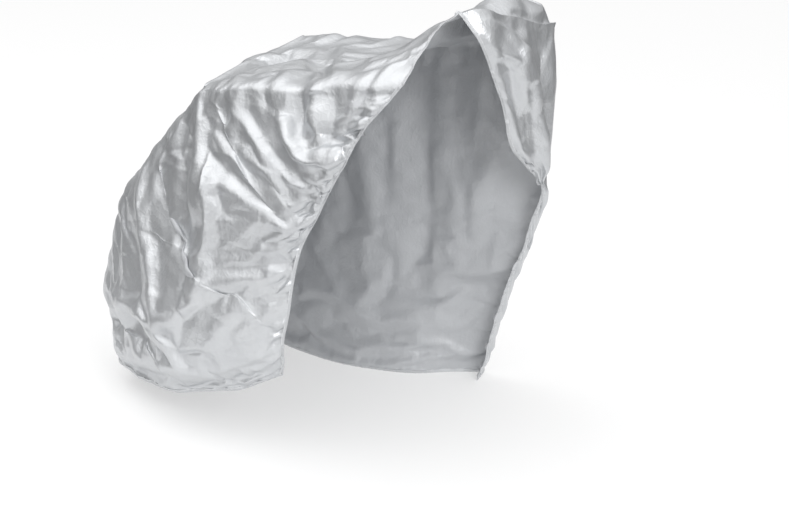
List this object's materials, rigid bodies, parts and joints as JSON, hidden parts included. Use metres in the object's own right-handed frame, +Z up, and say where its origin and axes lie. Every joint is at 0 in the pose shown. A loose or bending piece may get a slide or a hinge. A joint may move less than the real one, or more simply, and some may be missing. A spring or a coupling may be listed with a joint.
{
  "type": "bicycle cover",
  "caption": "Fitted bicycle cover of thin silver cloth, hollow and open at the front, half drawn off and hanging in uneven folds, with an elastic band along its free edge.",
  "frame": {"origin": "the point on the floor under the middle of the cover's box, with the lowest edge of the far panel at z = 0", "axes": "+X from the closed tail towards the open front, +Y from the near side panel to the far side panel, +Z up"},
  "size_m": [1.2289, 0.8423, 1.0581],
  "materials": {
    "silver_cloth": "thin plain-weave polyester with a silver coating, soft metallic sheen",
    "silver_band": "narrow elastic band sewn along the edge, pale silver"
  },
  "bodies": {
    "root": {"near_side_panel": "silver_cloth", "top_and_tail_strip": "silver_cloth", "far_side_panel": "silver_cloth", "elastic_band": "silver_band"}
  },
  "joints": []
}
